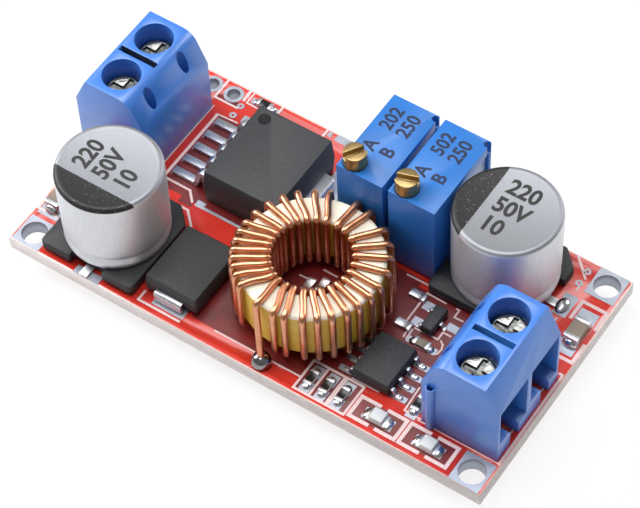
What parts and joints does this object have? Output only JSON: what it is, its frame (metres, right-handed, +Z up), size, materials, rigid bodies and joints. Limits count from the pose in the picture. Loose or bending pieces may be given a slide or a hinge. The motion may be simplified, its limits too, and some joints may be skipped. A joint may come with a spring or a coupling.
{
  "type": "buck converter module",
  "caption": "Adjustable step-down converter module: a flat circuit board with screw terminal blocks, can capacitors, a wound toroid inductor and screw-set trimmers.",
  "frame": {"origin": "centre of the footprint, at the tips of the soldered pins that the module stands on", "axes": "+X along the board from the input end to the output end, +Y across the board towards the trimmers, +Z up"},
  "size_m": [0.0516, 0.0264, 0.0151],
  "materials": {
    "red_board": "glossy solder mask on laminate",
    "blue_moulding": "satin",
    "plated_clamp": "nickel plated",
    "plated_screw": "zinc plated",
    "can_aluminium": "satin",
    "black_base": "matt",
    "mould_compound": "matt",
    "tinned_lead": "tinned",
    "core_coating": "satin",
    "copper_wire": "enamelled copper",
    "trimmer_blue": "satin",
    "pale_resin": "matt",
    "element_ceramic": "matt ceramic",
    "carriage_plastic": "matt",
    "adjuster_brass": "turned",
    "chip_resistor": "glassy",
    "chip_ceramic": "matt ceramic",
    "led_lens": "clear resin",
    "solder": "bright"
  },
  "bodies": {
    "circuit": {"circuit_board": "red_board", "input_block_housing": "blue_moulding", "input_clamp_frames": "plated_clamp", "input_capacitor_can": "can_aluminium", "input_capacitor_base": "black_base", "input_capacitor_leads": "tinned_lead", "output_block_housing": "blue_moulding", "output_clamp_frames": "plated_clamp", "output_capacitor_can": "can_aluminium", "output_capacitor_base": "black_base", "output_capacitor_leads": "tinned_lead", "regulator_body": "mould_compound", "diode_body": "mould_compound", "opamp_body": "mould_compound", "reference_body": "mould_compound", "regulator_leads": "tinned_lead", "regulator_tab": "tinned_lead", "diode_leads": "tinned_lead", "opamp_leads": "tinned_lead", "reference_leads": "tinned_lead", "inductor_core": "core_coating", "inductor_winding": "copper_wire", "voltage_trimmer_housing": "trimmer_blue", "voltage_trimmer_panel": "pale_resin", "voltage_trimmer_seal": "pale_resin", "voltage_trimmer_pins": "tinned_lead", "voltage_trimmer_element": "element_ceramic", "current_trimmer_housing": "trimmer_blue", "current_trimmer_panel": "pale_resin", "current_trimmer_seal": "pale_resin", "current_trimmer_pins": "tinned_lead", "current_trimmer_element": "element_ceramic", "chip_resistor_1": "chip_resistor", "chip_resistor_2": "chip_resistor", "chip_resistor_3": "chip_resistor", "edge_resistor": "chip_resistor", "sense_resistor": "chip_resistor", "current_shunt": "chip_resistor", "feedback_chips": "chip_resistor", "chips_in_bore": "chip_resistor", "filter_ceramic": "chip_ceramic", "input_ceramic": "chip_ceramic", "small_ceramic": "chip_ceramic", "indicator_led_1": "led_lens", "indicator_led_2": "led_lens", "solder_joints_under": "solder", "solder_dome_top": "solder"},
    "input_leaf_1": {"input_clamp_leaf_1": "plated_clamp"},
    "input_screw_1": {"input_clamp_screw_1": "plated_screw"},
    "input_leaf_2": {"input_clamp_leaf_2": "plated_clamp"},
    "input_screw_2": {"input_clamp_screw_2": "plated_screw"},
    "output_leaf_1": {"output_clamp_leaf_1": "plated_clamp"},
    "output_screw_1": {"output_clamp_screw_1": "plated_screw"},
    "output_leaf_2": {"output_clamp_leaf_2": "plated_clamp"},
    "output_screw_2": {"output_clamp_screw_2": "plated_screw"},
    "voltage_adjuster": {"voltage_trimmer_screw": "adjuster_brass"},
    "voltage_carriage": {"voltage_trimmer_carriage": "carriage_plastic"},
    "current_adjuster": {"current_trimmer_screw": "adjuster_brass"},
    "current_carriage": {"current_trimmer_carriage": "carriage_plastic"}
  },
  "joints": [
    {"name": "input_leaf_1_slide", "type": "slide", "parent": "circuit", "child": "input_leaf_1", "axis": [0, 0, 1], "range_m": [0, 0.0025]},
    {"name": "input_screw_1_turn", "type": "hinge", "parent": "input_leaf_1", "child": "input_screw_1", "pos_m": [-0.02212, 0.00696, 0.0108], "axis": [0, 0, 1], "range_deg": [0, 1800]},
    {"name": "input_leaf_2_slide", "type": "slide", "parent": "circuit", "child": "input_leaf_2", "axis": [0, 0, 1], "range_m": [0, 0.0025]},
    {"name": "input_screw_2_turn", "type": "hinge", "parent": "input_leaf_2", "child": "input_screw_2", "pos_m": [-0.02212, 0.00188, 0.0108], "axis": [0, 0, 1], "range_deg": [0, 1800]},
    {"name": "output_leaf_1_slide", "type": "slide", "parent": "circuit", "child": "output_leaf_1", "axis": [0, 0, 1], "range_m": [0, 0.0025]},
    {"name": "output_screw_1_turn", "type": "hinge", "parent": "output_leaf_1", "child": "output_screw_1", "pos_m": [0.02158, -0.00696, 0.0108], "axis": [0, 0, 1], "range_deg": [0, 1800]},
    {"name": "output_leaf_2_slide", "type": "slide", "parent": "circuit", "child": "output_leaf_2", "axis": [0, 0, 1], "range_m": [0, 0.0025]},
    {"name": "output_screw_2_turn", "type": "hinge", "parent": "output_leaf_2", "child": "output_screw_2", "pos_m": [0.02158, -0.00188, 0.0108], "axis": [0, 0, 1], "range_deg": [0, 1800]},
    {"name": "voltage_adjuster_turn", "type": "hinge", "parent": "circuit", "child": "voltage_adjuster", "pos_m": [0.0016, 0.00472, 0.0136], "axis": [0, 0, 1], "range_deg": [-4500, 4500]},
    {"name": "voltage_carriage_slide", "type": "slide", "parent": "circuit", "child": "voltage_carriage", "axis": [0, 0, 1], "range_m": [-0.003, 0.003]},
    {"name": "current_adjuster_turn", "type": "hinge", "parent": "circuit", "child": "current_adjuster", "pos_m": [0.00705, 0.00472, 0.0136], "axis": [0, 0, 1], "range_deg": [-4500, 4500]},
    {"name": "current_carriage_slide", "type": "slide", "parent": "circuit", "child": "current_carriage", "axis": [0, 0, 1], "range_m": [-0.003, 0.003]}
  ],
  "couplings": [
    {"joint": "input_screw_1_turn", "follows": "input_leaf_1_slide", "rad_per_m": 12566},
    {"joint": "input_screw_2_turn", "follows": "input_leaf_2_slide", "rad_per_m": 12566},
    {"joint": "output_screw_1_turn", "follows": "output_leaf_1_slide", "rad_per_m": 12566},
    {"joint": "output_screw_2_turn", "follows": "output_leaf_2_slide", "rad_per_m": 12566},
    {"joint": "voltage_adjuster_turn", "follows": "voltage_carriage_slide", "rad_per_m": -26180},
    {"joint": "current_adjuster_turn", "follows": "current_carriage_slide", "rad_per_m": -26180}
  ]
}
